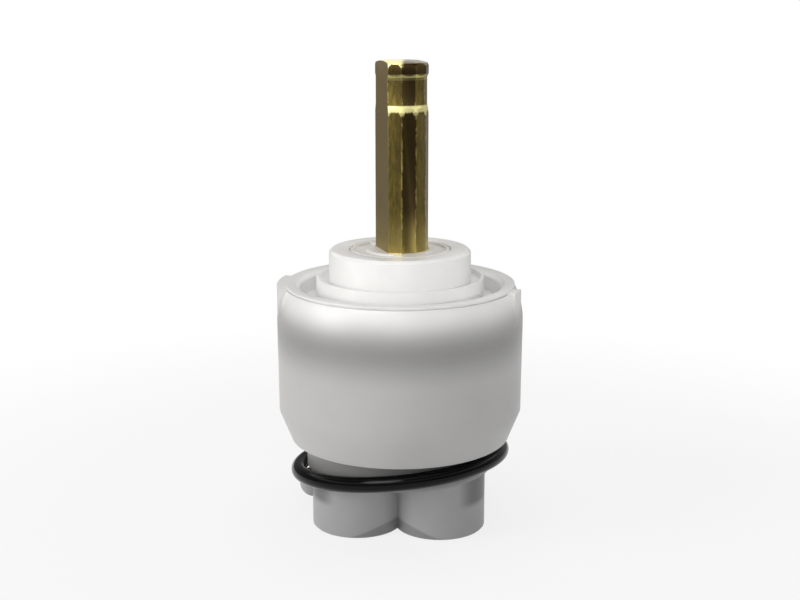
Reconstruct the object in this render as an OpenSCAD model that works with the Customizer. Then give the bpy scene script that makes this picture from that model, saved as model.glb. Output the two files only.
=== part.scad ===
// Ceramic disc mixing cartridge for a tap, in millimetres.
// The origin is on the axis, in the plane of the port ends, and the stem points along +Z.

/* [Main sizes] */
// Diameter of the housing
body_d = 40; // [38:0.1:44]
// Height from the port ends to the top of the stem
total_h = 75.4; // [68:0.1:90]

/* [Stem] */
// Width of the twelve-sided brass bar across its corners
stem_d = 9.06; // [8:0.02:9.4]
// Number of sides of the bar
stem_sides = 12; // [6:1:12]
// Direction of one corner of the bar at rest, in degrees
stem_corner_angle = 7.4; // [0:0.1:30]
// Depth of the drive flat below the bar's corners
flat_depth = 1.46; // [1:0.02:1.6]
// Direction that the drive flat faces at rest, in degrees
stem_flat_angle = 202; // [180:1:240]
// Length of the turned head above the groove
head_len = 1.6; // [1.4:0.1:3]
// Radial width of the crown on the head
head_crown = 1.2; // [1:0.1:1.8]
// Height of the crown on the head
head_crown_h = 0.3; // [0.2:0.05:0.5]
// Radial width of the taper under the crown
head_taper = 0.22; // [0.16:0.02:0.3]
// Height of the taper under the crown
head_taper_h = 0.8; // [0.6:0.05:1.1]
// Length of the turned groove
groove_len = 7.4; // [3:0.1:8]
// Radial depth of the turned groove
groove_depth = 0.26; // [0.2:0.01:0.4]
// Height of the sloping shoulder under the groove
groove_slope = 2.4; // [1:0.1:2.8]
// Height of the sloping lip above the groove
groove_lip = 0.9; // [0.4:0.1:1]
// Diameter of the flange that holds the stem in the spindle
stem_flange_d = 12.4; // [11.6:0.1:12.8]
// Thickness of that flange
stem_flange_t = 1.6; // [1.2:0.1:1.8]
// Extra diameter of the journal inside the spindle
journal_step = 0.3; // [0.2:0.05:0.5]
// Length of the flat that engages in the spindle
flat_hold = 4.6; // [3:0.1:5]

/* [Housing] */
// Radial draft of the housing's wall
body_draft = 0.1; // [0.05:0.05:0.3]
// Wall of the housing's foot
foot_wall = 1.5; // [1.4:0.05:2.2]
// Height of the foot chamfer
foot_chamfer_h = 4.8; // [3:0.1:6]
// Height of the round shoulder under the ridge
shoulder_h = 5.6; // [4:0.1:7]
// Set-back of the shoulder's ridge from the wall
ridge_inset = 1.3; // [1:0.1:1.8]
// Height of the rim above the ridge
rim_rise = 0.5; // [0.4:0.05:0.8]
// Set-back of the rim from the ridge
rim_inset = 0.12; // [0.08:0.02:0.3]
// Height of the seam at the rim's foot
seam_h = 0.18; // [0.12:0.02:0.24]
// Depth of that seam
seam_depth = 0.3; // [0.2:0.05:0.4]
// Width of the rim
rim_w = 2.3; // [1.6:0.1:2.6]
// Width of the bevel inside the rim
rim_bevel = 0.75; // [0.4:0.05:1]
// Depth of the ring recess inside the rim
recess_depth = 3; // [1.6:0.1:3.4]
// Thickness of the housing's top under the recess
top_wall = 2.6; // [2:0.1:2.8]
// Radial step from the chamber to the bore that takes the base
base_step = 0.55; // [0.4:0.05:0.8]
// Depth of the keying ears' tops below the rim
ear_drop = 0.15; // [0.1:0.01:0.2]
// Reach of the keying ears into the wall
ear_root = 0.7; // [0.5:0.1:1]
// Set-back of the keying ears from the wall
ear_inset = 0.06; // [0.04:0.01:0.2]
// Direction of the long keying ear, in degrees
long_ear_angle = 183; // [160:1:190]
// Half of the long ear's width, in degrees
long_ear_half = 16; // [8:1:20]
// Direction of the short keying ear, in degrees
short_ear_angle = -17; // [-25:1:10]
// Half of the short ear's width, in degrees
short_ear_half = 5; // [4:1:14]

/* [Hub] */
// Radial step from the hub to the flange round it
flange_step = 2.1; // [1.6:0.1:2.6]
// Height of the flange above the rim
flange_rise = 1.1; // [0.8:0.1:1.6]
// Width of the lip round the flange
flange_lip = 0.4; // [0.3:0.05:0.6]
// Depth of the trough between that lip and the hub
trough_depth = 0.9; // [0.5:0.1:1.2]
// Wall of the hub
hub_wall = 3.14; // [2.6:0.02:3.6]
// Height of the hub above the rim
hub_h = 5.5; // [5:0.1:7]
// Bevel round the top of the hub
hub_bevel = 0.45; // [0.2:0.05:0.6]
// Diameter of the spindle's neck
spindle_d = 16.5; // [16.1:0.1:17]
// Bevel round the spindle's end face
spindle_bevel = 0.4; // [0.2:0.05:0.5]
// Depth of the ring dished into the spindle's end face
dish_depth = 0.35; // [0.2:0.05:0.6]
// Width of the lip left round the dish
dish_lip = 0.75; // [0.5:0.05:1.2]
// Width of the collar left round the stem
dish_collar = 0.7; // [0.5:0.05:1]
// Half of each dished segment, in degrees
dish_half = 66; // [50:1:80]

/* [Spindle] */
// Thickness of the spindle's flange
spindle_flange_t = 2.4; // [2.2:0.1:2.6]
// Width of the drive tongue under the flange
tongue_w = 6; // [4:0.1:7]
// Length of the drive tongue
tongue_len = 20; // [16:0.5:22]
// Depth of the drive tongue
tongue_h = 1.3; // [0.8:0.1:1.4]
// Width of the stop lug, in degrees
lug_angle = 40; // [30:1:50]
// Turn from shut to full hot, in degrees
turn_range = 236; // [220:1:244]
// Direction of the stop lug and of the mixing hollow when shut, in degrees
shut_angle = 90; // [84:1:96]
// Free angle left at each stop, in degrees
stop_play = 1.5; // [1:0.1:3]

/* [Washer and stop ring] */
// Radial width of the thrust washer
washer_w = 1.55; // [1.2:0.05:1.8]
// Thickness of the thrust washer
washer_t = 0.8; // [0.6:0.05:1]
// Radial width of the stop ring
stop_ring_w = 2.2; // [1.8:0.1:2.3]
// Height of the stop ring
stop_h = 1.58; // [1.4:0.02:2]
// Width of the stop ring's key
stop_key_w = 4; // [3:0.1:6]
// Radial height of the stop ring's key
stop_key_h = 1.2; // [0.8:0.1:1.4]

/* [Ceramic discs] */
// Thickness of the fixed disc
fixed_t = 3.4; // [3:0.1:3.6]
// Radial step from the fixed disc in to the moving disc
moving_inset = 0.5; // [0.3:0.05:0.8]
// Thickness of the moving disc
moving_t = 3.6; // [3.4:0.1:3.8]
// Depth of the mixing hollow
hollow_depth = 1.8; // [1.2:0.1:2]
// Web between the outlet seal and the inlet seals
seal_web = 1.2; // [1:0.1:1.4]
// Width of an inlet window
window_w = 4.4; // [4:0.1:4.6]
// Half of a window's sweep between its round ends, in degrees
window_half = 18; // [14:1:20]
// Half of the mixing hollow's sweep between its round ends, in degrees
hollow_half = 13; // [10:1:16]
// Diameter of the outlet hole in the middle
outlet_d = 5.8; // [5:0.1:6]
// Thickness of the disc carrier
carrier_t = 2.2; // [2:0.1:2.4]
// Radial edge of the disc carrier round the moving disc
carrier_edge = 0.3; // [0.2:0.05:0.6]
// Width of the carrier's drive dogs
dog_w = 4; // [3:0.1:5]
// Depth of the drive dogs
dog_h = 1.5; // [1:0.1:1.7]
// Radial length of the drive dogs
dog_len = 1.8; // [1.2:0.1:2]

/* [Port base] */
// Length of the port tubes below the neck
tube_len = 9.6; // [8:0.1:12]
// Bore of a port tube
tube_bore_d = 8.6; // [8:0.1:9]
// Wall of a port tube round its seal
tube_wall = 1.55; // [1.2:0.05:1.8]
// Web between an inlet bore and the outlet hole in the middle
core_web = 0.6; // [0.5:0.05:0.8]
// Set-back of the inlet tubes from the edge of the neck
tube_set_in = 0.15; // [0.1:0.05:0.4]
// Angle of the inlet tubes from the side, in degrees
inlet_angle = 31; // [28:1:34]
// Set-back of the outlet tube from the circle of the inlet tubes
outlet_inset = 0.5; // [0.3:0.1:0.8]
// Chamfer round the tube ends
tube_chamfer = 0.3; // [0.2:0.05:0.8]
// Radial step from the base in to its neck
neck_step = 1; // [0.8:0.05:1.2]
// Length of the neck that shows under the housing
neck_len = 4.8; // [4.4:0.1:6]
// Height of the base inside the housing
base_h = 6; // [5.8:0.1:6.4]
// Depth of the seal pockets in the base
pocket_depth = 1.9; // [1.6:0.1:2]
// Floor under the seal pockets
pocket_floor = 1.35; // [1.2:0.05:1.6]
// Height of the outlet passage across the base
passage_h = 3.6; // [3:0.1:4]
// Number of lugs that hold the fixed disc
disc_lug_count = 3; // [2:1:3]
// Direction of the first of those lugs, in degrees
disc_lug_angle = 30; // [24:1:36]
// Width of the lugs that hold the fixed disc
disc_lug_w = 4; // [3:0.1:5]
// Height of those lugs
disc_lug_h = 2.4; // [1.6:0.1:2.8]
// Radial length of those lugs
disc_lug_len = 2.2; // [1.8:0.1:2.4]
// Radial height of the snap bead
snap_h = 0.4; // [0.3:0.05:0.5]
// Width of the snap bead
snap_w = 1.1; // [0.8:0.1:1.2]
// Diameter of the locating lug beside the cold port
locator_d = 4.8; // [4:0.1:5]
// Set-back of the locating lug from the edge of the neck
locator_inset = 0.75; // [0.6:0.05:1.4]
// Direction of the locating lug, in degrees
locator_angle = 176; // [172:1:180]
// Length of the locating lug with its round tip
locator_len = 4.2; // [3:0.1:4.6]
// Gap between the locating lug and the O-ring that lies on it
locator_gap = 0.3; // [0.2:0.05:0.6]
// Thickness of the rib behind the locating lug
locator_rib = 2; // [1.5:0.1:3]

/* [Seals] */
// Section of the neck O-ring
neck_ring_t = 2.5; // [2.3:0.05:2.6]
// Gap between the neck and the O-ring's nearest side
neck_ring_gap = 0.12; // [0.08:0.01:0.2]
// Gap between the housing's foot and the O-ring's high side
neck_ring_drop = 0.7; // [0.4:0.05:1]
// Tilt of the neck O-ring where it sits askew, in degrees
neck_ring_tilt = 8.2; // [4:0.1:9]
// Direction in which the neck O-ring rises, in degrees
neck_ring_rise = -42; // [-60:1:0]
// Section of the housing O-ring
housing_ring_t = 1.8; // [1.6:0.05:1.9]
// Section of the spindle O-rings
spindle_ring_t = 1.8; // [1.6:0.05:1.9]
// Depth of the upper spindle O-ring below the hub's top
upper_ring_depth = 3.2; // [2.8:0.1:3.6]
// Distance between the two spindle O-rings
spindle_ring_gap = 4; // [3.2:0.1:4.4]
// Section of the stem O-ring
stem_ring_t = 1.3; // [1.2:0.05:1.4]
// Height of the stem O-ring above the stem's flange
stem_ring_up = 2.2; // [1.6:0.1:3]
// Wall of a disc seal
disc_seal_wall = 1.35; // [1.2:0.05:1.4]
// Height that the disc seals stand above the base
seal_stand = 0.4; // [0.3:0.05:0.6]
// Wall of a port seal
port_seal_wall = 1.35; // [1.2:0.05:1.5]
// Radial step from a tube's bore to its port seal
port_seal_step = 0.25; // [0.1:0.05:0.4]
// Height of a port seal
port_seal_h = 3; // [2.4:0.1:3.6]

/* [Clearances] */
// Radial clearance of the spindle in the hub
run_gap = 0.06; // [0.03:0.01:0.1]
// Axial gap at faces that slide
face_gap = 0.02; // [0.01:0.01:0.05]
// Gap between pieces that plug together
plug_gap = 0.05; // [0.03:0.01:0.1]
// Gap round an O-ring in its groove
ring_gap = 0.03; // [0.02:0.01:0.06]
// Gap between the lugs of the fixed disc and the chamber
chamber_gap = 0.5; // [0.4:0.05:0.7]
// Gap between a moving lug and what it passes
swing_gap = 0.4; // [0.3:0.05:0.5]

/* [Hidden] */
$fn = 96;
over = 1;

// Radii of the ports and of the base, from the bores outwards
outlet_r = outlet_d / 2;
tube_bore_r = tube_bore_d / 2;
tube_pitch = outlet_r + core_web + tube_bore_r;
outlet_pitch = tube_pitch - outlet_inset;
port_seal_r = tube_bore_r + port_seal_step;
port_seat_r = port_seal_r + port_seal_wall;
tube_r = port_seat_r + plug_gap + tube_wall;
neck_r = tube_pitch + tube_r + tube_set_in;
base_r = neck_r + neck_step;
base_bore_r = base_r + plug_gap;

// Radii of the housing and of what its chamber holds
chamber_r = base_bore_r - base_step;
body_r = body_d / 2;
foot_r = base_bore_r + foot_wall;
ridge_r = body_r - ridge_inset;
rim_r = ridge_r - rim_inset;
rim_in_r = rim_r - rim_w;
disc_lug_out_r = chamber_r - chamber_gap;
disc_lug_in_r = disc_lug_out_r - disc_lug_len;
fixed_r = disc_lug_out_r - disc_lug_len / 2;
moving_r = fixed_r - moving_inset;
carrier_r = moving_r + carrier_edge;
window_half_w = window_w / 2;
seal_half_w = window_half_w + disc_seal_wall;
window_r = outlet_r + disc_seal_wall + seal_web + seal_half_w;

// Radii of the stem and of what turns round it
stem_r = stem_d / 2;
stem_flat = stem_r - flat_depth;
groove_r = stem_r - groove_depth;
crown_r = stem_r - head_taper;
journal_r = stem_r + journal_step / 2;
stem_bore_r = journal_r + ring_gap;
spindle_r = spindle_d / 2;
hub_bore_r = spindle_r + run_gap;
hub_r = hub_bore_r + hub_wall;
flange_r = hub_r + flange_step;

// Levels from the port ends upwards
neck_z = tube_len;
foot_z = neck_z + neck_len;
base_foot_z = foot_z + plug_gap;
base_top_z = foot_z + base_h;
pocket_z = base_top_z - pocket_depth;
passage_top_z = pocket_z - pocket_floor;
passage_z = passage_top_z - passage_h;
fixed_z = base_top_z + seal_stand;
moving_z = fixed_z + fixed_t + face_gap;
carrier_z = moving_z + moving_t;
spindle_z = carrier_z + carrier_t;
spindle_flange_z = spindle_z + spindle_flange_t;
washer_z = spindle_flange_z + face_gap;
boss_z = washer_z + washer_t;
stop_z = spindle_flange_z + swing_gap;
ceiling_z = stop_z + stop_h;
floor_z = ceiling_z + top_wall;
rim_z = floor_z + recess_depth;
ridge_z = rim_z - rim_rise;
shoulder_z = ridge_z - shoulder_h;
flange_z = rim_z + flange_rise;
trough_z = flange_z - trough_depth;
hub_z = rim_z + hub_h;
stem_top_z = total_h;

// Stem levels
crown_z = stem_top_z - head_crown_h;
groove_top_z = stem_top_z - head_len;
groove_foot_z = groove_top_z - groove_len;
flat_z = hub_z - flat_hold;
stem_seat_z = spindle_z + stem_flange_t;
stem_ring_z = stem_seat_z + stem_ring_up;

// Round shoulder through the ridge, tangent to the wall
shoulder_r = (pow(ridge_inset, 2) + pow(shoulder_h, 2)) / (2 * ridge_inset);

// Stop lug and stop ring
boss_r = spindle_r + swing_gap + washer_w;
stop_out_r = chamber_r - plug_gap;
stop_in_r = stop_out_r - stop_ring_w;
lug_in_r = boss_r + swing_gap;
lug_out_r = stop_in_r - swing_gap;
stop_angle = 360 - turn_range - lug_angle - 2 * stop_play;
stop_mid = shut_angle - lug_angle / 2 - stop_play - stop_angle / 2;

// Directions of the ports
cold_angle = 180 + inlet_angle;
hot_angle = -inlet_angle;
outlet_angle = 90;
disc_seal_h = pocket_depth + seal_stand;

// Static rings
neck_ring_r = (neck_r + neck_ring_gap + neck_ring_t / 2) / cos(neck_ring_tilt);
neck_ring_lift = neck_ring_r * sin(neck_ring_tilt);
neck_ring_z = foot_z - neck_ring_drop - neck_ring_t / 2 - neck_ring_lift;
locator_ring_z = neck_ring_z + neck_ring_lift * cos(locator_angle - neck_ring_rise);
locator_top = locator_ring_z - neck_ring_t / 2 - locator_gap;
locator_pitch = neck_r - locator_inset;
locator_r = locator_d / 2;
locator_mid_z = locator_top - locator_len + locator_r;
housing_ring_r = base_bore_r - ring_gap - housing_ring_t / 2;
housing_ring_z = pocket_z - housing_ring_t / 2;
spindle_ring_r = hub_bore_r - ring_gap - spindle_ring_t / 2;
upper_ring_z = hub_z - upper_ring_depth;
lower_ring_z = upper_ring_z - spindle_ring_gap;
stem_ring_r = stem_bore_r - ring_gap - stem_ring_t / 2;
snap_z = base_foot_z + snap_w;

// Shapes that repeat

// Ring of round section
module o_ring(mid_r, section) {
  rotate_extrude()
    translate([mid_r, 0])
      circle(section / 2);
}

// Square groove for such a ring, cut from the outside to out_r
module ring_groove(mid_r, section, out_r) {
  rotate_extrude()
    translate([mid_r - section / 2 - ring_gap, -section / 2 - ring_gap])
      square([out_r - mid_r + section / 2 + ring_gap + over, section + 2 * ring_gap]);
}

// Part of a flat ring, centred on a direction
module ring_sector(in_r, out_r, h, mid, half) {
  rotate([0, 0, mid - half])
    rotate_extrude(angle = 2 * half)
      translate([in_r, 0])
        square([out_r - in_r, h]);
}

// Curved window with round ends
module kidney(mid_r, half_w, half, h) {
  ring_sector(mid_r - half_w, mid_r + half_w, h, 0, half);
  for (side = [-1, 1])
    rotate([0, 0, side * half])
      translate([mid_r, 0, 0])
        cylinder(r = half_w, h = h);
}

// Straight slot from the axis along +X, with a round far end
module spoke(len, half_w, h) {
  translate([0, -half_w, 0])
    cube([len, 2 * half_w, h]);
  translate([len, 0, 0])
    cylinder(r = half_w, h = h);
}

// Block that reaches outwards from in_r to out_r along a direction
module radial_block(in_r, out_r, w, h, angle) {
  rotate([0, 0, angle])
    translate([in_r, -w / 2, 0])
      cube([out_r - in_r, w, h]);
}

// Places its children at each port tube
module at_tube(angle, pitch) {
  rotate([0, 0, angle])
    translate([pitch, 0, 0])
      children();
}

// Housing

module shoulder_corner() {
  difference() {
    translate([ridge_r, shoulder_z])
      square([ridge_inset + over, shoulder_h + over]);
    translate([body_r - shoulder_r, shoulder_z])
      circle(shoulder_r);
  }
}

module barrel_outline() {
  difference() {
    polygon([
      [0, foot_z],
      [foot_r, foot_z],
      [body_r - body_draft, foot_z + foot_chamfer_h],
      [body_r, shoulder_z],
      [body_r, ridge_z],
      [0, ridge_z]
    ]);
    shoulder_corner();
  }
}

// Rim with the seam at its foot
module rim_outline() {
  polygon([
    [0, ridge_z - over],
    [rim_r - seam_depth, ridge_z - over],
    [rim_r - seam_depth, ridge_z + seam_h],
    [rim_r, ridge_z + seam_h],
    [rim_r, rim_z],
    [0, rim_z]
  ]);
}

module recess_outline() {
  polygon([
    [hub_r, floor_z],
    [rim_in_r, floor_z],
    [rim_in_r, rim_z - rim_bevel],
    [rim_in_r + rim_bevel, rim_z],
    [rim_in_r + rim_bevel, rim_z + over],
    [hub_r, rim_z + over]
  ]);
}

// Hub with the troughed flange round it
module hub_outline() {
  polygon([
    [0, floor_z - over],
    [flange_r, floor_z - over],
    [flange_r, flange_z],
    [flange_r - flange_lip, flange_z],
    [flange_r - flange_lip, trough_z],
    [hub_r, trough_z],
    [hub_r, hub_z - hub_bevel],
    [hub_r - hub_bevel, hub_z],
    [0, hub_z]
  ]);
}

module housing_outline() {
  difference() {
    union() {
      barrel_outline();
      rim_outline();
    }
    recess_outline();
  }
  hub_outline();
}

module housing_inside() {
  polygon([
    [0, foot_z - over],
    [base_bore_r, foot_z - over],
    [base_bore_r, base_top_z],
    [chamber_r, base_top_z],
    [chamber_r, ceiling_z],
    [boss_r, ceiling_z],
    [boss_r, boss_z],
    [hub_bore_r, boss_z],
    [hub_bore_r, hub_z + over],
    [0, hub_z + over]
  ]);
  translate([base_bore_r - over, snap_z - snap_w / 2 - plug_gap])
    square([snap_h + plug_gap + over, snap_w + 2 * plug_gap]);
}

module keying_ear(angle, half) {
  translate([0, 0, shoulder_z])
    ring_sector(
      rim_r - ear_root, body_r - ear_inset, rim_z - ear_drop - shoulder_z, angle, half
    );
}

module housing() {
  color("whitesmoke")
    difference() {
      union() {
        rotate_extrude() housing_outline();
        keying_ear(long_ear_angle, long_ear_half);
        keying_ear(short_ear_angle, short_ear_half);
      }
      rotate_extrude() housing_inside();
      translate([0, 0, stop_z - over])
        radial_block(
          stop_in_r, stop_out_r + stop_key_h + 2 * plug_gap, stop_key_w + 2 * plug_gap,
          stop_h + over, stop_mid
        );
    }
}

// Port base

module tube_body() {
  cylinder(r1 = tube_r - tube_chamfer, r2 = tube_r, h = tube_chamfer);
  translate([0, 0, tube_chamfer])
    cylinder(r = tube_r, h = neck_z - tube_chamfer + over);
}

module tube_passage(top) {
  translate([0, 0, -over])
    cylinder(r = tube_bore_r, h = top + over);
  translate([0, 0, -over])
    cylinder(r = port_seat_r + plug_gap, h = port_seal_h + plug_gap + over);
}

module locator() {
  at_tube(locator_angle, locator_pitch) {
    translate([0, 0, locator_mid_z])
      cylinder(r = locator_r, h = locator_top - locator_mid_z);
    translate([0, 0, locator_mid_z])
      sphere(locator_r);
  }
  translate([0, 0, locator_mid_z])
    radial_block(
      tube_pitch, locator_pitch, locator_rib, neck_z - locator_mid_z + over, locator_angle
    );
}

// Block for each lug that holds the fixed disc, made larger all round by gap
module disc_lugs(gap, h) {
  for (lug = [0 : disc_lug_count - 1])
    radial_block(
      disc_lug_in_r - gap, disc_lug_out_r + gap, disc_lug_w + 2 * gap, h,
      disc_lug_angle + lug * 360 / disc_lug_count
    );
}

module snap_bead() {
  rotate_extrude()
    polygon([
      [base_r - over, snap_z - snap_w / 2],
      [base_r + snap_h / 2, snap_z - snap_w / 2],
      [base_r + snap_h, snap_z],
      [base_r, snap_z + snap_w / 2],
      [base_r - over, snap_z + snap_w / 2]
    ]);
}

module port_base() {
  color("gainsboro")
    difference() {
      union() {
        at_tube(cold_angle, tube_pitch) tube_body();
        at_tube(hot_angle, tube_pitch) tube_body();
        at_tube(outlet_angle, outlet_pitch) tube_body();
        translate([0, 0, neck_z])
          cylinder(r = neck_r, h = neck_len + over);
        translate([0, 0, base_foot_z])
          cylinder(r = base_r, h = base_top_z - base_foot_z);
        snap_bead();
        locator();
        translate([0, 0, base_top_z - over])
          disc_lugs(0, disc_lug_h + over);
      }
      translate([0, 0, housing_ring_z])
        ring_groove(housing_ring_r, housing_ring_t, base_r);
      at_tube(cold_angle, tube_pitch) tube_passage(passage_top_z);
      at_tube(hot_angle, tube_pitch) tube_passage(passage_top_z);
      at_tube(outlet_angle, outlet_pitch) tube_passage(passage_top_z);
      for (angle = [cold_angle, hot_angle])
        rotate([0, 0, angle]) {
          translate([0, 0, passage_top_z - over])
            kidney(window_r, window_half_w, window_half, base_top_z - passage_top_z + 2 * over);
          translate([0, 0, pocket_z])
            kidney(window_r, seal_half_w + plug_gap, window_half, pocket_depth + over);
        }
      translate([0, 0, passage_z])
        rotate([0, 0, outlet_angle])
          spoke(outlet_pitch, outlet_r, passage_h);
      translate([0, 0, passage_z])
        cylinder(r = outlet_r, h = base_top_z - passage_z + over);
      translate([0, 0, pocket_z])
        cylinder(r = outlet_r + disc_seal_wall + plug_gap, h = pocket_depth + over);
    }
}

// Stem

// Turned shape of the bar, before its sides are cut
module stem_turning() {
  rotate_extrude()
    polygon([
      [0, hub_z - over],
      [journal_r, hub_z - over],
      [journal_r, groove_foot_z],
      [groove_r, groove_foot_z + groove_slope],
      [groove_r, groove_top_z - groove_lip],
      [journal_r, groove_top_z],
      [journal_r, crown_z - head_taper_h],
      [crown_r, crown_z],
      [crown_r - head_crown, stem_top_z],
      [0, stem_top_z]
    ]);
}

module stem_bar() {
  intersection() {
    stem_turning();
    rotate([0, 0, stem_corner_angle])
      translate([0, 0, hub_z - over])
        cylinder(r = stem_r, h = stem_top_z - hub_z + 2 * over, $fn = stem_sides);
  }
}

module stem() {
  color("darkgoldenrod")
    difference() {
      union() {
        stem_bar();
        translate([0, 0, spindle_z])
          cylinder(r = journal_r, h = hub_z - spindle_z);
        translate([0, 0, spindle_z])
          cylinder(d = stem_flange_d, h = stem_flange_t);
      }
      rotate([0, 0, stem_flat_angle])
        translate([stem_flat, -journal_r - over, flat_z])
          cube([journal_r, 2 * journal_r + 2 * over, stem_top_z - flat_z + over]);
      translate([0, 0, stem_ring_z])
        ring_groove(stem_ring_r, stem_ring_t, journal_r);
    }
}

module stem_o_ring() {
  color("dimgray")
    translate([0, 0, stem_ring_z])
      o_ring(stem_ring_r, stem_ring_t);
}

// Spindle

module spindle_outline() {
  polygon([
    [0, spindle_z],
    [lug_out_r, spindle_z],
    [lug_out_r, spindle_flange_z],
    [spindle_r, spindle_flange_z],
    [spindle_r, hub_z - spindle_bevel],
    [spindle_r - spindle_bevel, hub_z],
    [0, hub_z]
  ]);
}

module stem_hole() {
  difference() {
    translate([0, 0, spindle_z - over])
      cylinder(r = stem_bore_r, h = hub_z - spindle_z + 2 * over);
    rotate([0, 0, stem_flat_angle])
      translate([stem_flat + ring_gap, -journal_r - over, flat_z + plug_gap])
        cube([journal_r, 2 * journal_r + 2 * over, flat_hold + 2 * over]);
  }
  translate([0, 0, spindle_z - tongue_h - over])
    cylinder(r = stem_flange_d / 2 + plug_gap, h = tongue_h + over + stem_flange_t);
}

module spindle_dish() {
  in_r = stem_bore_r + dish_collar;
  out_r = spindle_r - dish_lip;
  translate([0, 0, hub_z - dish_depth])
    for (side = [0, 180])
      ring_sector(in_r, out_r, dish_depth + over, stem_flat_angle + side, dish_half);
}

module spindle() {
  color("white")
    difference() {
      union() {
        rotate_extrude() spindle_outline();
        translate([-tongue_len / 2, -tongue_w / 2, spindle_z - tongue_h])
          cube([tongue_len, tongue_w, tongue_h + over]);
        translate([0, 0, spindle_flange_z - over])
          ring_sector(lug_in_r, lug_out_r, stop_h + over, shut_angle, lug_angle / 2);
      }
      stem_hole();
      spindle_dish();
      translate([0, 0, upper_ring_z])
        ring_groove(spindle_ring_r, spindle_ring_t, spindle_r);
      translate([0, 0, lower_ring_z])
        ring_groove(spindle_ring_r, spindle_ring_t, spindle_r);
    }
}

module spindle_upper_o_ring() {
  color("dimgray")
    translate([0, 0, upper_ring_z])
      o_ring(spindle_ring_r, spindle_ring_t);
}

module spindle_lower_o_ring() {
  color("dimgray")
    translate([0, 0, lower_ring_z])
      o_ring(spindle_ring_r, spindle_ring_t);
}

// Washer and stop ring

module thrust_washer() {
  color("ivory")
    translate([0, 0, washer_z])
      difference() {
        cylinder(r = boss_r, h = washer_t);
        translate([0, 0, -over])
          cylinder(r = spindle_r + swing_gap, h = washer_t + 2 * over);
      }
}

module stop_ring() {
  color("steelblue")
    translate([0, 0, stop_z]) {
      difference() {
        cylinder(r = stop_out_r, h = stop_h);
        translate([0, 0, -over])
          cylinder(r = stop_in_r, h = stop_h + 2 * over);
      }
      ring_sector(lug_in_r, stop_in_r + stop_ring_w / 2, stop_h, stop_mid, stop_angle / 2);
      radial_block(
        stop_out_r - stop_ring_w / 2, stop_out_r + stop_key_h, stop_key_w, stop_h, stop_mid
      );
    }
}

// Ceramic discs and their carrier

module disc_carrier() {
  color("slategray")
    difference() {
      union() {
        translate([0, 0, carrier_z])
          cylinder(r = carrier_r, h = carrier_t);
        for (side = [0, 180])
          translate([0, 0, carrier_z - dog_h])
            radial_block(moving_r - dog_len, moving_r, dog_w, dog_h + over, side);
      }
      translate([-tongue_len / 2 - plug_gap, -tongue_w / 2 - plug_gap, spindle_z - tongue_h - plug_gap])
        cube([tongue_len + 2 * plug_gap, tongue_w + 2 * plug_gap, tongue_h + plug_gap + over]);
    }
}

module moving_disc() {
  color("lightgray")
    difference() {
      translate([0, 0, moving_z])
        cylinder(r = moving_r, h = moving_t);
      translate([0, 0, moving_z - over]) {
        cylinder(r = outlet_r + plug_gap, h = hollow_depth + over);
        rotate([0, 0, shut_angle]) {
          kidney(window_r, window_half_w, hollow_half, hollow_depth + over);
          spoke(window_r, window_half_w, hollow_depth + over);
        }
      }
      for (side = [0, 180])
        translate([0, 0, carrier_z - dog_h - plug_gap])
          radial_block(
            moving_r - dog_len - plug_gap, moving_r + over, dog_w + 2 * plug_gap,
            dog_h + plug_gap + over, side
          );
    }
}

module fixed_disc() {
  color("ghostwhite")
    difference() {
      translate([0, 0, fixed_z])
        cylinder(r = fixed_r, h = fixed_t);
      translate([0, 0, fixed_z - over]) {
        cylinder(r = outlet_r, h = fixed_t + 2 * over);
        for (angle = [cold_angle, hot_angle])
          rotate([0, 0, angle])
            kidney(window_r, window_half_w, window_half, fixed_t + 2 * over);
        disc_lugs(plug_gap, fixed_t + 2 * over);
      }
    }
}

// Seals

module inlet_disc_seal(angle) {
  color("dimgray")
    translate([0, 0, pocket_z])
      rotate([0, 0, angle])
        difference() {
          kidney(window_r, seal_half_w, window_half, disc_seal_h);
          translate([0, 0, -over])
            kidney(window_r, window_half_w, window_half, disc_seal_h + 2 * over);
        }
}

module cold_disc_seal() {
  inlet_disc_seal(cold_angle);
}

module hot_disc_seal() {
  inlet_disc_seal(hot_angle);
}

module outlet_disc_seal() {
  color("dimgray")
    translate([0, 0, pocket_z])
      difference() {
        cylinder(r = outlet_r + disc_seal_wall, h = disc_seal_h);
        translate([0, 0, -over])
          cylinder(r = outlet_r, h = disc_seal_h + 2 * over);
      }
}

module port_seal(angle, pitch) {
  color("dimgray")
    at_tube(angle, pitch)
      translate([0, 0, plug_gap])
        difference() {
          cylinder(r = port_seat_r, h = port_seal_h);
          translate([0, 0, -over])
            cylinder(r = port_seal_r, h = port_seal_h + 2 * over);
        }
}

module cold_port_seal() {
  port_seal(cold_angle, tube_pitch);
}

module hot_port_seal() {
  port_seal(hot_angle, tube_pitch);
}

module outlet_port_seal() {
  port_seal(outlet_angle, outlet_pitch);
}

module neck_o_ring() {
  color("black")
    translate([0, 0, neck_ring_z])
      rotate([0, 0, neck_ring_rise])
        rotate([0, -neck_ring_tilt, 0])
          o_ring(neck_ring_r, neck_ring_t);
}

module housing_o_ring() {
  color("dimgray")
    translate([0, 0, housing_ring_z])
      o_ring(housing_ring_r, housing_ring_t);
}

housing();
port_base();
stem();
stem_o_ring();
spindle();
spindle_upper_o_ring();
spindle_lower_o_ring();
thrust_washer();
stop_ring();
disc_carrier();
moving_disc();
fixed_disc();
cold_disc_seal();
hot_disc_seal();
outlet_disc_seal();
cold_port_seal();
hot_port_seal();
outlet_port_seal();
neck_o_ring();
housing_o_ring();
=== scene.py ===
import math

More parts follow.
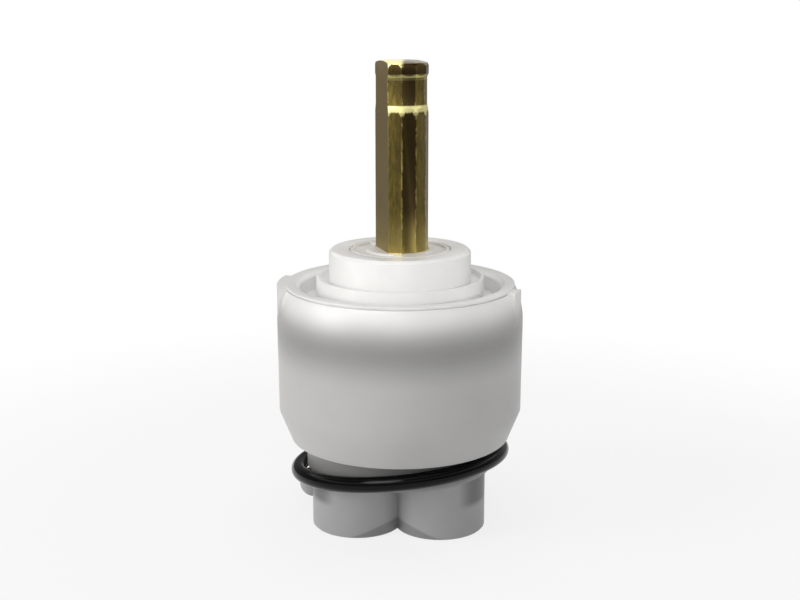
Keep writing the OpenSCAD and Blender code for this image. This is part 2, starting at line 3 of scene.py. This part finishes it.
import bmesh
import bpy
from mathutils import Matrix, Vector

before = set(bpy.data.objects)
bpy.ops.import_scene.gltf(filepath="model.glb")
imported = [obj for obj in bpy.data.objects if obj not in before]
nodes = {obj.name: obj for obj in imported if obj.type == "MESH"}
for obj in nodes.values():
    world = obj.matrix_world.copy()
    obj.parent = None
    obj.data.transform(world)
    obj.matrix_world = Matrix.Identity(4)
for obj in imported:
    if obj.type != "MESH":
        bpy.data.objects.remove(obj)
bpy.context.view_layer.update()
scene = bpy.context.scene
scene.view_settings.view_transform = "Standard"
mm = 0.001
print("frame loaded with", len(nodes), "nodes")


class Wire:  # a shader socket that takes part in Python sums
    def __init__(self, graph, socket):
        self.graph, self.socket = graph, socket

    def __add__(self, other):
        return self.graph.calc("ADD", self, other)

    def __radd__(self, other):
        return self.graph.calc("ADD", other, self)

    def __sub__(self, other):
        return self.graph.calc("SUBTRACT", self, other)

    def __rsub__(self, other):
        return self.graph.calc("SUBTRACT", other, self)

    def __mul__(self, other):
        return self.graph.calc("MULTIPLY", self, other)

    def __rmul__(self, other):
        return self.graph.calc("MULTIPLY", other, self)


class Graph:  # the nodes of one material or of the world
    def __init__(self, owner):
        owner.use_nodes = True
        self.tree = owner.node_tree
        self.tree.nodes.clear()

    def add(self, kind, settings=None, inputs=None, out=0):
        node = self.tree.nodes.new(kind)
        for name, value in (settings or {}).items():
            setattr(node, name, value)
        for name, value in (inputs or {}).items():
            if isinstance(value, Wire):
                self.tree.links.new(value.socket, node.inputs[name])
            else:
                node.inputs[name].default_value = value
        return Wire(self, node.outputs[out]) if len(node.outputs) else node

    def outputs(self, wire, names):  # several outputs of the node that a wire leaves
        return [Wire(self, wire.socket.node.outputs[name]) for name in names]

    def calc(self, operation, *values):  # one Math node
        return self.add("ShaderNodeMath", {"operation": operation}, dict(enumerate(values)))

    def coords(self):  # object coordinates in metres
        return self.add("ShaderNodeTexCoord", out="Object")

    def split(self, coords):  # x, y and z
        return self.outputs(self.add("ShaderNodeSeparateXYZ", inputs={0: coords}), range(3))

    def away(self, x, y):  # distance from the part's axis
        return self.calc("SQRT", x * x + y * y)

    def noise(self, coords, scale, detail, rough, stretch=None):
        if stretch:
            coords = self.add("ShaderNodeMapping", inputs={"Vector": coords, "Scale": stretch})
        return self.add("ShaderNodeTexNoise", inputs={
            "Vector": coords, "Scale": scale, "Detail": detail, "Roughness": rough})

    def between(self, value, low, high):  # smooth step from 0 at low to 1 at high
        kind = {"interpolation_type": "SMOOTHSTEP"}
        return self.add("ShaderNodeMapRange", kind, {"Value": value, "From Min": low, "From Max": high})

    def hump(self, value, centre, half):  # 1 at centre, 0 beyond half on both sides
        return self.between(self.calc("ABSOLUTE", value - centre), half, 0)

    def tint(self, amount, first, second):  # colour mix
        kind = {"data_type": "RGBA", "clamp_factor": True}
        colours = [c if isinstance(c, Wire) else (*c, 1) for c in (first, second)]
        return self.add("ShaderNodeMix", kind, {0: amount, 6: colours[0], 7: colours[1]}, out=2)

    def bump(self, height, depth, strength):
        return self.add("ShaderNodeBump", inputs={"Height": height, "Distance": depth, "Strength": strength})

    def surface(self, kind, inputs):  # the shader and its output
        self.add("ShaderNodeOutputMaterial", inputs={"Surface": self.add(kind, inputs=inputs)})

    def plainSurface(self, inputs):
        self.surface("ShaderNodeBsdfPrincipled", inputs)


def newMaterial(name):
    material = bpy.data.materials.new(name)
    return material, Graph(material)


# A noise is written as scale, detail and roughness, and some have a stretch along x, y and z.
# A pair in an entry that ends in From, To or Away is where a smooth step starts and ends.

housingLook = {
    "hub": (0.885, 0.88, 0.87),
    "hubAway": (16.6 * mm, 17.4 * mm),  # hub inside, barrel outside
    "shoulder": (0.83, 0.825, 0.815),
    # painted shade: the wall below the shoulder is painted darker than the shoulder and hub
    "wall": (0.49, 0.485, 0.48),
    "wallFrom": (38.2 * mm, 31.2 * mm),
    "band": (0.26, 0.255, 0.25),  # painted shade: a grey band round the wall
    "bandAt": 33.0 * mm,
    "bandHalf": 6.2 * mm,
    "bandMix": 0.85,
    "edge": (0.97, 0.965, 0.96),  # painted highlight on the inner edge of the rim
    "edgeAway": 16.65 * mm,
    "edgeHalf": 0.45 * mm,
    "edgeFrom": (39.2 * mm, 39.4 * mm),
    "mottle": 0.08,
    "rough": 0.36,
}


def housingColour(g, look, x, y, z):
    away = g.away(x, y)
    # painted shade: darker from the shoulder down the wall
    barrel = g.tint(g.between(z, *look["wallFrom"]), look["shoulder"], look["wall"])
    # painted shade band round the wall
    band = g.hump(z, look["bandAt"], look["bandHalf"])
    barrel = g.tint(band * look["bandMix"], barrel, look["band"])
    colour = g.tint(g.between(away, *look["hubAway"]), look["hub"], barrel)
    # painted highlight along the rim's inner edge
    edge = g.hump(away, look["edgeAway"], look["edgeHalf"]) * g.between(z, *look["edgeFrom"])
    return g.tint(edge, colour, look["edge"])


baseLook = {
    # painted shade: the tubes are painted grey and the neck darker, where less light reaches
    "tube": (0.36, 0.36, 0.365),
    "neck": (0.24, 0.238, 0.235),
    "neckFrom": (9.5 * mm, 10.1 * mm),
    "foot": (0.2, 0.2, 0.205),  # painted shade along the tube ends beside the notch
    "footTop": 2.4 * mm,
    "footHalf": 9.5 * mm,
    "footFrom": (0.1 * mm, -0.4 * mm),
    "footMix": 0.8,
    "grease": (0.09, 0.09, 0.09),  # painted shade on the lug under the O-ring
    "greaseFrom": (4.6 * mm, 6.0 * mm),
    "greaseTo": (9.8 * mm, 9.4 * mm),
    "greaseAway": (14.6 * mm, 15.4 * mm),
    "greaseMix": 0.9,
    "mottle": 0.1,
    "rough": 0.42,
}


def baseColour(g, look, x, y, z):
    # painted shade: grey tubes, darker neck
    colour = g.tint(g.between(z, *look["neckFrom"]), look["tube"], look["neck"])
    top = g.hump(x, 0, look["footHalf"]) * look["footTop"]  # highest at the notch
    # painted shade at the foot, deepest at the notch
    notchShade = g.between(z - top, *look["footFrom"])
    colour = g.tint(notchShade * look["footMix"], colour, look["foot"])
    # painted shade on the lug under the O-ring
    underRing = g.between(z, *look["greaseFrom"]) * g.between(z, *look["greaseTo"])
    underRing = underRing * g.between(g.away(x, y), *look["greaseAway"])
    return g.tint(underRing * look["greaseMix"], colour, look["grease"])


spindleLook = {
    "face": (0.80, 0.795, 0.78),
    "rim": (0.86, 0.855, 0.84),
    "rimAway": (5 * mm, 8 * mm),
    "rimMix": 0.3,
    "mottle": 0.1,
    "rough": 0.33,
}


def spindleColour(g, look, x, y, z):
    rim = g.between(g.away(x, y), *look["rimAway"])
    return g.tint(rim * look["rimMix"], look["face"], look["rim"])


acetalSkin = {  # shared by the white mouldings
    "cloud": (90, 4, 0.55),
    "cloudFrom": (0.38, 0.75),
    "shade": (0.12, 0.115, 0.11),
    "grain": (2600, 3, 0.6),
    "grainRough": 0.16,
    "grainHeight": 0.6,
    "flow": (420, 5, 0.6, (1, 1, 0.25)),
    "flowRough": 0.1,
    "flowHeight": 0.4,
    "relief": (0.02 * mm, 0.35),  # depth and strength
    "ior": 1.48,
    "scatter": 0.12,
    "scatterColour": (1.0, 0.95, 0.85),
    "scatterDepth": 1.2 * mm,
}


def acetal(name, look, ownColour, skin=acetalSkin):
    material, g = newMaterial(name)
    coords = g.coords()
    cloud, grain, flow = [g.noise(coords, *skin[key]) for key in ("cloud", "grain", "flow")]
    colour = ownColour(g, look, *g.split(coords))
    mottle = g.between(cloud, *skin["cloudFrom"]) * look["mottle"]
    height = grain * skin["grainHeight"] + flow * skin["flowHeight"]
    g.plainSurface({
        "Base Color": g.tint(mottle, colour, skin["shade"]),
        "Roughness": look["rough"] + (grain - 0.5) * skin["grainRough"] + (flow - 0.5) * skin["flowRough"],
        "Normal": g.bump(height, *skin["relief"]),
        "IOR": skin["ior"],
        "Subsurface Weight": skin["scatter"],
        "Subsurface Radius": skin["scatterColour"],
        "Subsurface Scale": skin["scatterDepth"],
    })
    return material


brassLook = {
    "gold": (0.32, 0.245, 0.064),
    "olive": (0.19, 0.145, 0.045),
    "brown": (0.085, 0.055, 0.024),
    # colour of the painted highlights and reflections
    "bright": (0.98, 0.91, 0.42),
    # rubbed metal on the corners, and the painted sheen down to the hub
    "rubbedAndSheen": (0.72, 0.57, 0.18),
    "drawn": (900, 4, 0.6, (1, 1, 0.04)),  # marks drawn along the bar
    "streak": (2600, 4, 0.65, (1, 1, 0.22)),
    "blotch": (260, 5, 0.6, (1, 1, 0.5)),
    "fine": (5200, 2, 0.5),
    "chafe": (1300, 3, 0.6, (1, 1, 0.6)),  # breaks the gold line along the corners
    "nick": (1500, 2, 0.4, (1, 1, 0.4)),
    "sides": 12,
    "corner": math.radians(7.4),  # direction of one corner
    "countFrom": 20,  # keeps the count of the sides above 0
    "oliveStreak": 0.7,  # the rest of the olive comes from the blotches
    "oliveFrom": (0.4, 0.6),
    "tarnish": 0.2,  # how much the sides differ
    "tarnishFrom": (0.55, 0.85),
    "tarnishMix": 0.6,
    "leanFrom": (0.35, 0.8),  # each side darkens one way
    "leanMix": 0.4,
    "brownSide": 17,  # count of the side coloured brown
    "brownMix": 0.85,
    "brownGapFrom": (0.55, 0.75),  # lighter streaks in it
    "brownGap": 0.5,
    "footFrom": (53 * mm, 45.5 * mm),  # painted sheen: the metal paler down to the hub
    "footMix": 0.6,
    "cornerFrom": (0.07, 0.0),  # gold line along the corners
    "cornerWander": 0.2,
    "cornerMix": 0.7,
    "chafeFrom": (0.44, 0.6),
    "arch": 0.6 * mm,  # how far the arches drop at the corners
    "archHalf": 0.55,
    "archFrom": (73.3 * mm, 73.5 * mm),  # dark arches on the head
    "archMix": 0.8,
    "wander": 0.5 * mm,
    "crownFrom": (74.9 * mm, 75.05 * mm),
    "crownLit": (1.0 * mm, 0.2 * mm),  # painted highlight on this side of the top, painted shade on the rest
    "crownWander": 1.0 * mm,
    "crownMix": 0.8,
    "slopeGlintFrom": (67.45 * mm, 67.8 * mm),  # painted reflection on the slope under the turned groove
    "slopeGlintTo": (68.7 * mm, 68.5 * mm),
    # painted reflection of the pale hub on the lip
    "lipFrom": (72.4 * mm, 72.6 * mm),
    "lipTo": (73.5 * mm, 73.3 * mm),
    "lipMix": 0.2,
    "flat": (0.22, 0.172, 0.088),
    "flatAngle": math.radians(202),
    "flatAway": (3.02 * mm, 3.06 * mm),
    "flatMarkFrom": (0.4, 0.7),
    "flatMark": 0.35,
    "flatFoot": 0.2,
    "rough": 0.2,
    "drawnRough": 0.1,
    "blotchRough": 0.08,
    "flatRough": 0.25,
    "nickFrom": (0.68, 0.78),
    "drawnHeight": 0.5,
    "fineHeight": 0.2,
    "nickHeight": 0.8,
    "relief": (0.03 * mm, 0.5),
}


def brass(name, look):
    material, g = newMaterial(name)
    coords = g.coords()
    x, y, z = g.split(coords)
    drawn, streak, blotch, fine, chafe, nick = [
        g.noise(coords, *look[key]) for key in ("drawn", "streak", "blotch", "fine", "chafe", "nick")]

    perTurn = look["sides"] / (2 * math.pi)
    share = (g.calc("ARCTAN2", y, x) - look["corner"]) * perTurn + look["countFrom"]
    part, side = g.calc("FRACT", share), g.calc("FLOOR", share)
    edge = g.hump(part, 0.5, 0.5)  # 0 at the corners, 1 in the middle of a side

    olive = g.between(streak * look["oliveStreak"] + blotch * (1 - look["oliveStreak"]), *look["oliveFrom"])
    colour = g.tint(olive, look["gold"], look["olive"])
    perSide = g.add("ShaderNodeTexWhiteNoise", {"noise_dimensions": "1D"}, {"W": side})
    tarnish = g.between(drawn + perSide * look["tarnish"], *look["tarnishFrom"])
    colour = g.tint(tarnish * look["tarnishMix"], colour, look["brown"])
    colour = g.tint(g.between(part, *look["leanFrom"]) * look["leanMix"], colour, look["brown"])
    gaps = g.between(streak, *look["brownGapFrom"]) * look["brownGap"]
    brownOne = g.calc("COMPARE", side, look["brownSide"], 0.5) * (1 - gaps)
    colour = g.tint(brownOne * look["brownMix"], colour, look["brown"])
    # painted sheen, paler down to the hub
    foot = g.between(z, *look["footFrom"])
    colour = g.tint(foot * look["footMix"], colour, look["rubbedAndSheen"])
    corners = g.between(edge + (streak - 0.5) * look["cornerWander"], *look["cornerFrom"])
    corners = corners * g.between(chafe, *look["chafeFrom"])
    colour = g.tint(corners * look["cornerMix"], colour, look["rubbedAndSheen"])

    dip = (1 - g.between(edge, 0, look["archHalf"])) * look["arch"]
    crown = g.between(z + dip + (blotch - 0.5) * look["wander"], *look["crownFrom"])
    arches = g.between(z, *look["archFrom"]) * (1 - crown)
    colour = g.tint(arches * look["archMix"], colour, look["brown"])
    # painted highlight on one side of the top, painted shade elsewhere
    lit = g.between(x + (blotch - 0.5) * look["crownWander"], *look["crownLit"])
    colour = g.tint(crown * look["crownMix"], colour, g.tint(lit, look["brown"], look["bright"]))
    # painted reflection on the slope
    slope = g.between(z + dip + (streak - 0.5) * look["wander"], *look["slopeGlintFrom"])
    colour = g.tint(slope * g.between(z, *look["slopeGlintTo"]), colour, look["bright"])
    # painted reflection on the lip
    lip = g.between(z, *look["lipFrom"]) * g.between(z, *look["lipTo"])
    colour = g.tint(lip * look["lipMix"], colour, look["bright"])

    across = x * math.cos(look["flatAngle"]) + y * math.sin(look["flatAngle"])
    flat = g.between(across, *look["flatAway"])
    marks = g.between(drawn, *look["flatMarkFrom"]) * look["flatMark"]
    planed = g.tint(marks, look["flat"], look["olive"])
    planed = g.tint(foot * look["flatFoot"], planed, look["rubbedAndSheen"])

    rough = look["rough"] + drawn * look["drawnRough"] + blotch * look["blotchRough"]
    height = drawn * look["drawnHeight"] + fine * look["fineHeight"]
    height = height - g.between(nick, *look["nickFrom"]) * look["nickHeight"]
    g.plainSurface({
        "Base Color": g.tint(flat, colour, planed),
        "Metallic": 1.0,
        "Roughness": rough + flat * look["flatRough"],
        "Normal": g.bump(height, *look["relief"]),
    })
    return material


rubberLook = {
    "colour": (0.010, 0.010, 0.010),
    "dust": (0.03, 0.03, 0.029),
    "rough": 0.42,
    "gloss": 0.5,
}
greasedLook = {
    "colour": (0.003, 0.003, 0.0034),
    "dust": (0.005, 0.005, 0.005),
    "rough": 0.08,
    "gloss": 0.14,
    "innerAway": (16.4 * mm, 15.9 * mm),  # the side at the neck is wiped dull
    "innerRough": 0.5,
}
rubberSkin = {  # shared by all rings and seals
    "skin": (1800, 4, 0.6),
    "skinRough": 0.2,
    "specks": (500, 4, 0.6),
    "specksFrom": (0.52, 0.75),
    "specksMix": 0.6,
    "specksRough": 0.1,
    "relief": (0.02 * mm, 0.4),
}


def rubber(name, look, skin=rubberSkin):
    material, g = newMaterial(name)
    coords = g.coords()
    texture = g.noise(coords, *skin["skin"])
    dusty = g.between(g.noise(coords, *skin["specks"]), *skin["specksFrom"])
    rough = look["rough"] + (texture - 0.5) * skin["skinRough"] + dusty * skin["specksRough"]
    if "innerAway" in look:
        x, y, z = g.split(coords)
        rough = rough + g.between(g.away(x, y), *look["innerAway"]) * look["innerRough"]
    g.plainSurface({
        "Base Color": g.tint(dusty * skin["specksMix"], look["colour"], look["dust"]),
        "Roughness": rough,
        "Normal": g.bump(texture, *skin["relief"]),
        "Specular IOR Level": look["gloss"],
    })
    return material


washerLook = {"colour": (0.78, 0.75, 0.66), "dark": (0.66, 0.63, 0.54), "rough": 0.5}
stopLook = {"colour": (0.16, 0.28, 0.48), "dark": (0.10, 0.19, 0.36), "rough": 0.48}
carrierLook = {"colour": (0.32, 0.35, 0.39), "dark": (0.24, 0.26, 0.30), "rough": 0.5}
innerSkin = {  # shared by the matt mouldings inside
    "grain": (2200, 4, 0.6),
    "grainRough": 0.2,
    "cloud": (160, 4, 0.55),
    "cloudFrom": (0.35, 0.7),
    "cloudMix": 0.6,
    "relief": (0.03 * mm, 0.4),
}


def innerPlastic(name, look, skin=innerSkin):
    material, g = newMaterial(name)
    coords = g.coords()
    grain = g.noise(coords, *skin["grain"])
    cloud = g.between(g.noise(coords, *skin["cloud"]), *skin["cloudFrom"])
    g.plainSurface({
        "Base Color": g.tint(cloud * skin["cloudMix"], look["colour"], look["dark"]),
        "Roughness": look["rough"] + (grain - 0.5) * skin["grainRough"],
        "Normal": g.bump(grain, *skin["relief"]),
    })
    return material


movingLook = {"colour": (0.72, 0.71, 0.69), "speck": (0.52, 0.51, 0.49)}
fixedLook = {"colour": (0.86, 0.85, 0.82), "speck": (0.66, 0.65, 0.62)}
ceramicSkin = {  # shared by the two discs
    "fine": (6000, 3, 0.6),
    "fineFrom": (0.66, 0.74),
    "fineMix": 0.5,
    "fineRough": 0.12,
    "cloud": (240, 4, 0.5),
    "cloudFrom": (0.4, 0.7),
    "cloudMix": 0.3,
    "rough": 0.16,
    "relief": (0.006 * mm, 0.3),
    "ior": 1.7,
}


def ceramic(name, look, skin=ceramicSkin):
    material, g = newMaterial(name)
    coords = g.coords()
    fine = g.noise(coords, *skin["fine"])
    cloud = g.between(g.noise(coords, *skin["cloud"]), *skin["cloudFrom"])
    colour = g.tint(cloud * skin["cloudMix"], look["colour"], look["speck"])
    specks = g.between(fine, *skin["fineFrom"]) * skin["fineMix"]
    g.plainSurface({
        "Base Color": g.tint(specks, colour, look["speck"]),
        "Roughness": skin["rough"] + fine * skin["fineRough"],
        "Normal": g.bump(fine, *skin["relief"]),
        "IOR": skin["ior"],
    })
    return material


blackRubber = rubber("black rubber", rubberLook)
paint = {
    "housing": acetal("white acetal", housingLook, housingColour),
    "port_base": acetal("base acetal", baseLook, baseColour),
    "spindle": acetal("spindle acetal", spindleLook, spindleColour),
    "stem": brass("tarnished brass", brassLook),
    "neck_o_ring": rubber("greased rubber", greasedLook),
    "thrust_washer": innerPlastic("washer plastic", washerLook),
    "stop_ring": innerPlastic("stop ring plastic", stopLook),
    "disc_carrier": innerPlastic("carrier plastic", carrierLook),
    "moving_disc": ceramic("moving ceramic", movingLook),
    "fixed_disc": ceramic("fixed ceramic", fixedLook),
}
print("materials:", len(paint) + 1)

edgeLook = {
    "width": {"housing": 0.18 * mm, "port_base": 0.14 * mm, "stem": 0.05 * mm, "spindle": 0.1 * mm},
    "segments": 3,
    "sharp": math.radians(24),  # edges from this angle up are rounded and split
    "weld": 0.001 * mm,
}
for name, node in nodes.items():
    node.data.materials.clear()
    node.data.materials.append(paint.get(name, blackRubber))  # rings and seals are plain rubber
    node.data.shade_smooth()
    weld = node.modifiers.new("weld", "WELD")
    weld.merge_threshold = edgeLook["weld"]
    if name in edgeLook["width"]:
        bevel = node.modifiers.new("edges", "BEVEL")
        bevel.width = edgeLook["width"][name]
        bevel.segments = edgeLook["segments"]
        bevel.limit_method = "ANGLE"
        bevel.angle_limit = edgeLook["sharp"]
        bevel.harden_normals = name == "stem"  # keeps its sides flat
        bevel.use_clamp_overlap = True
    split = node.modifiers.new("sharp", "EDGE_SPLIT")
    split.split_angle = edgeLook["sharp"]
print("nodes dressed")


def placeMesh(name, meshName, bm):  # turns a bmesh into an object of the scene
    mesh = bpy.data.meshes.new(meshName)
    bm.to_mesh(mesh)
    bm.free()
    holder = bpy.data.objects.new(name, mesh)
    scene.collection.objects.link(holder)
    return holder


def seenDirect(g):  # 1 for rays that show the background itself
    rays = ("Is Camera Ray", "Is Glossy Ray", "Is Transmission Ray")
    camera, glossy, through = g.outputs(g.add("ShaderNodeLightPath"), rays)
    return g.calc("MINIMUM", camera + glossy + through, 1.0)


floorLook = {
    "size": 8,
    "drop": 0.05 * mm,
    "colour": (0.86, 0.86, 0.86),
    "shadow": 0.2,  # share of real shadow near the part
    "fade": (0.03, 0.14),
}


def makeFloor(look):
    bm = bmesh.new()
    bmesh.ops.create_grid(bm, x_segments=1, y_segments=1, size=look["size"] / 2)
    bmesh.ops.translate(bm, vec=(0, 0, -look["drop"]), verts=bm.verts)
    floor = placeMesh("floor", "floor", bm)
    material, g = newMaterial("pale floor")
    x, y, z = g.split(g.coords())
    near = 1 - g.between(x * x + y * y, *[r * r for r in look["fade"]])
    g.surface("ShaderNodeMixShader", {
        0: seenDirect(g) * (1 - near * look["shadow"]),
        1: g.add("ShaderNodeBsdfDiffuse", inputs={"Color": (*look["colour"], 1)}),
        2: g.add("ShaderNodeEmission", inputs={"Color": (1, 1, 1, 1), "Strength": 1.0}),
    })
    floor.data.materials.append(material)


makeFloor(floorLook)

worldLook = {"fill": 0.4}
scene.world = bpy.data.worlds.new("studio")
g = Graph(scene.world)
glow = g.add("ShaderNodeBackground", inputs={
    "Color": (1, 1, 1, 1), "Strength": seenDirect(g) * (1 - worldLook["fill"]) + worldLook["fill"]})
g.add("ShaderNodeOutputWorld", inputs={"Surface": glow})
print("floor and world made")

surroundLook = {
    "colour": (1, 0.98, 0.95),
    "radius": 0.18,
    "low": -0.01,
    "high": 0.3,
    "steps": 96,
    "tone": 0.16,
    "dark": 0.05,
    "darkTurn": (math.radians(-52), math.radians(40)),  # a turn or a height is a centre and a half
    "right": 0.3,
    "rightTurn": (math.radians(50), math.radians(60)),
    "strip": 1.6,  # bright strip in front
    "stripHeight": (0.104, 0.026),
    "stripFrom": (0.1, 0.02),
    "back": 1.0,
    "backFrom": (0.04, 0.12),
    "backUpFrom": (0.08, 0.11),
    "glint": 6.0,  # window up at the left
    "glintTurn": (math.radians(-117), math.radians(36)),
    "glintHeight": (0.215, 0.13),
    "glintFrom": (0.1, 0.35),
}


def makeSurround(look):  # studio cards that only reflections see
    bm = bmesh.new()
    start = bm.verts.new((look["radius"], 0, look["low"]))
    top = bm.verts.new((look["radius"], 0, look["high"]))
    edge = bm.edges.new((start, top))
    bmesh.ops.spin(
        bm, geom=[start, top, edge], cent=(0, 0, 0), axis=(0, 0, 1), angle=2 * math.pi,
        steps=look["steps"], use_merge=True)
    card = placeMesh("studio_cards", "studio cards", bm)
    material, g = newMaterial("studio card")
    x, y, z = g.split(g.coords())
    turn = g.calc("ARCTAN2", y, x)
    dark = g.hump(turn, *look["darkTurn"])
    right = g.hump(turn, *look["rightTurn"])
    strip = g.hump(z, *look["stripHeight"]) * g.between(y, *look["stripFrom"])
    back = g.between(y, *look["backFrom"]) * g.between(z, *look["backUpFrom"])
    glint = g.hump(turn, *look["glintTurn"]) * g.hump(z, *look["glintHeight"])
    glint = g.between(glint, *look["glintFrom"])
    level = look["tone"] + dark * (look["dark"] - look["tone"]) + right * look["right"]
    level = level + strip * look["strip"] + back * look["back"] + glint * look["glint"]
    glow = g.add("ShaderNodeVectorMath", {"operation": "SCALE"}, {0: look["colour"], "Scale": level})
    g.surface("ShaderNodeEmission", {"Color": glow, "Strength": 1.0})
    card.data.materials.append(material)
    for way in ("camera", "diffuse", "transmission", "shadow", "volume_scatter"):
        setattr(card, "visible_" + way, False)


makeSurround(surroundLook)
print("studio cards made")

lamps = {
    "key": {
        "at": (-0.70, -0.30, 0.26), "to": (0, 0, 0.03),
        "size": 0.4, "power": 3.1, "colour": (1, 0.99, 0.97)},
    "front": {
        "at": (0.10, -0.80, 0.30), "to": (0, 0, 0.04),
        "size": 0.5, "power": 1.4, "colour": (1, 1, 1)},
    "top": {
        "at": (0.05, 0.10, 0.75), "to": (0, 0, 0.03),
        "size": 0.5, "power": 0.9, "colour": (1, 1, 1)},
    "hub": {
        "at": (0.36, -0.49, 0.17), "to": (0.002, 0, 0.0445), "cone": math.radians(2.1),
        "size": 0.03, "power": 3.8, "colour": (1, 1, 0.99)},
}
for name, lamp in lamps.items():
    light = bpy.data.lights.new(name, "SPOT" if "cone" in lamp else "AREA")
    if "cone" in lamp:
        light.spot_size = 2 * lamp["cone"]
        light.spot_blend = 1
        light.shadow_soft_size = lamp["size"] / 2
    else:
        light.size = lamp["size"]
    light.energy = lamp["power"]
    light.color = lamp["colour"]
    holder = bpy.data.objects.new(name + "_lamp", light)
    holder.location = lamp["at"]
    aim = Vector(lamp["to"]) - Vector(lamp["at"])
    holder.rotation_mode = "QUATERNION"
    holder.rotation_quaternion = aim.to_track_quat("-Z", "Y")
    holder.visible_glossy = "cone" not in lamp  # the hub's fill leaves no glare on the brass
    scene.collection.objects.link(holder)
print("lamps:", len(lamps))

cameraLook = {
    "away": 0.2072,
    "turn": math.radians(3.43),
    "height": 0.08475,
    "pitch": math.radians(13),
    "lens": 58.7,
    "sensor": 36,
    "clip": 0.01,
}
camera = bpy.data.cameras.new("camera")
camera.lens = cameraLook["lens"]
camera.sensor_width = cameraLook["sensor"]
camera.sensor_fit = "HORIZONTAL"
camera.clip_start = cameraLook["clip"]
holder = bpy.data.objects.new("camera", camera)
holder.location = (
    cameraLook["away"] * math.sin(cameraLook["turn"]),
    -cameraLook["away"] * math.cos(cameraLook["turn"]),
    cameraLook["height"])
holder.rotation_euler = (math.pi / 2 - cameraLook["pitch"], 0, cameraLook["turn"])
scene.collection.objects.link(holder)
scene.camera = holder

print("scene ready")
